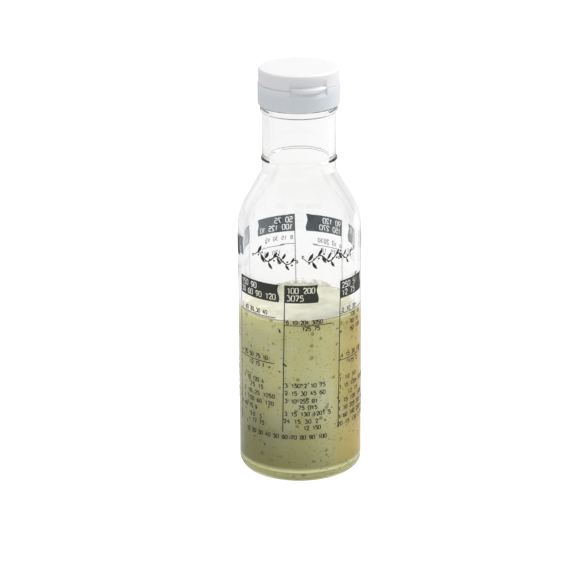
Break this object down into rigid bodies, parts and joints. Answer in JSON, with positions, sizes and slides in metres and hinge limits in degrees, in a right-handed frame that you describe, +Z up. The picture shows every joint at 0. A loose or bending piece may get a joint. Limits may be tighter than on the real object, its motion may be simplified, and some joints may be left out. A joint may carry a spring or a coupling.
{
  "type": "glass pouring bottle with flip cap",
  "caption": "Slim round glass bottle for salad dressing, with a screw-on white plastic closure whose small lid flips open over a pouring spout.",
  "frame": {"origin": "on the bottle's axis, in the plane that the bottle stands on", "axes": "+Z up along the bottle's axis; the closure's thumb recess faces -Y and its hinge is at the back, towards +Y"},
  "size_m": [0.062, 0.062, 0.209],
  "materials": {
    "bottle_glass": "gloss",
    "dressing": "satin",
    "liner_foam": "matte",
    "closure_plastic": "satin",
    "print_ink": "satin"
  },
  "bodies": {
    "bottle": {"glass_bottle": "bottle_glass", "dressing": "dressing"},
    "liner": {"sealing_liner": "liner_foam"},
    "cap": {"cap_base": "closure_plastic", "hinge_film_left": "closure_plastic", "hinge_film_right": "closure_plastic", "snap_strap": "closure_plastic"},
    "lid": {"flip_lid": "closure_plastic"}
  },
  "joints": [
    {"name": "cap_lift", "type": "slide", "parent": "bottle", "child": "liner", "axis": [0, 0, 1], "range_m": [0, 0.0128]},
    {"name": "cap_turn", "type": "hinge", "parent": "liner", "child": "cap", "pos_m": [0, 0, 0.1993], "axis": [0, 0, 1], "range_deg": [0, 1080]},
    {"name": "lid_hinge", "type": "hinge", "parent": "cap", "child": "lid", "pos_m": [0, 0.02145, 0.2013], "axis": [-1, 0, 0], "range_deg": [0, 175], "deforming": ["hinge_film_left", "hinge_film_right", "snap_strap"]}
  ],
  "couplings": [
    {"joint": "cap_lift", "follows": "cap_turn", "m_per_rad": 0.00067376}
  ]
}
